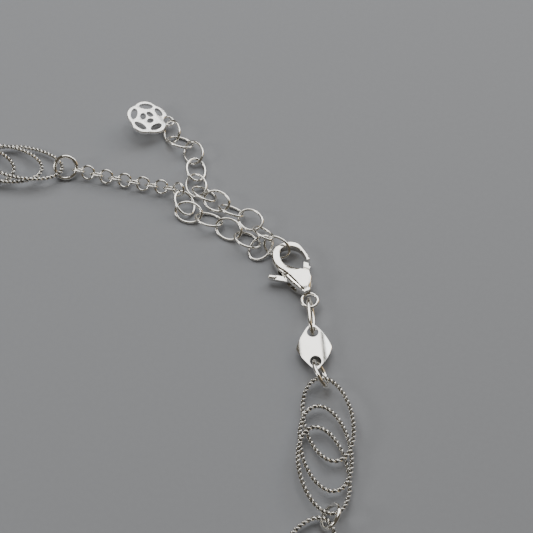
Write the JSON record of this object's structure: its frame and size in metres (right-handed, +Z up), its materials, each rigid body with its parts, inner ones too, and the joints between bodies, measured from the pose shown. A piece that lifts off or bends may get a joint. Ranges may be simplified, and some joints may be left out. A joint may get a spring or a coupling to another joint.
{
  "type": "link bracelet",
  "caption": "Silver link bracelet of interlaced twisted-wire filigree links, with a tag, rolo and oval extension chains, a lobster clasp and a pierced flower charm.",
  "frame": {"origin": "middle of the bounding box, on the surface the bracelet lies on", "axes": "+Z up from the surface, +Y away from the viewer along the longer side, +X to the viewer's right"},
  "size_m": [0.0716, 0.0784, 0.003],
  "materials": {
    "polished_silver": "polished",
    "twisted_silver": "polished twisted wire",
    "cast_silver": "bright cast"
  },
  "bodies": {
    "bracelet": {"filigree_link_1": "twisted_silver", "filigree_link_2": "twisted_silver", "filigree_link_3": "twisted_silver", "filigree_link_4": "twisted_silver", "filigree_link_5": "twisted_silver", "filigree_link_6": "twisted_silver", "filigree_link_7": "twisted_silver", "filigree_link_8": "twisted_silver", "filigree_link_9": "twisted_silver", "jump_ring_1": "polished_silver", "jump_ring_2": "polished_silver", "jump_ring_3": "polished_silver", "jump_ring_4": "polished_silver", "jump_ring_5": "polished_silver", "jump_ring_6": "polished_silver", "jump_ring_7": "polished_silver", "jump_ring_8": "polished_silver", "jump_ring_9": "polished_silver", "clasp_ring": "polished_silver", "tag_ring": "polished_silver", "rolo_link_1": "polished_silver", "rolo_link_2": "polished_silver", "rolo_link_3": "polished_silver", "rolo_link_4": "polished_silver", "rolo_link_5": "polished_silver", "rolo_link_6": "polished_silver", "rolo_link_7": "polished_silver", "rolo_link_8": "polished_silver", "rolo_link_9": "polished_silver", "rolo_link_10": "polished_silver", "rolo_link_11": "polished_silver", "rolo_link_12": "polished_silver", "extension_link_1": "polished_silver", "extension_link_2": "polished_silver", "extension_link_3": "polished_silver", "extension_link_4": "polished_silver", "extension_link_5": "polished_silver", "extension_link_6": "polished_silver", "extension_link_7": "polished_silver", "extension_link_8": "polished_silver", "extension_link_9": "polished_silver", "extension_link_10": "polished_silver", "extension_link_11": "polished_silver", "extension_link_12": "polished_silver", "extension_link_13": "polished_silver", "extension_link_14": "polished_silver", "extension_link_15": "polished_silver", "extension_link_16": "polished_silver", "extension_link_17": "polished_silver", "flower_charm": "cast_silver", "clasp_body": "polished_silver", "clasp_pin": "polished_silver", "tag": "polished_silver"},
    "lever": {"clasp_lever": "polished_silver"}
  },
  "joints": [
    {"name": "clasp_lever", "type": "hinge", "parent": "bracelet", "child": "lever", "pos_m": [0.02966, 0.01064, 0.00105], "axis": [0, 0, 1], "range_deg": [0, 25], "stiffness_Nm_per_rad": 0.004, "springref_deg": -20.05}
  ]
}
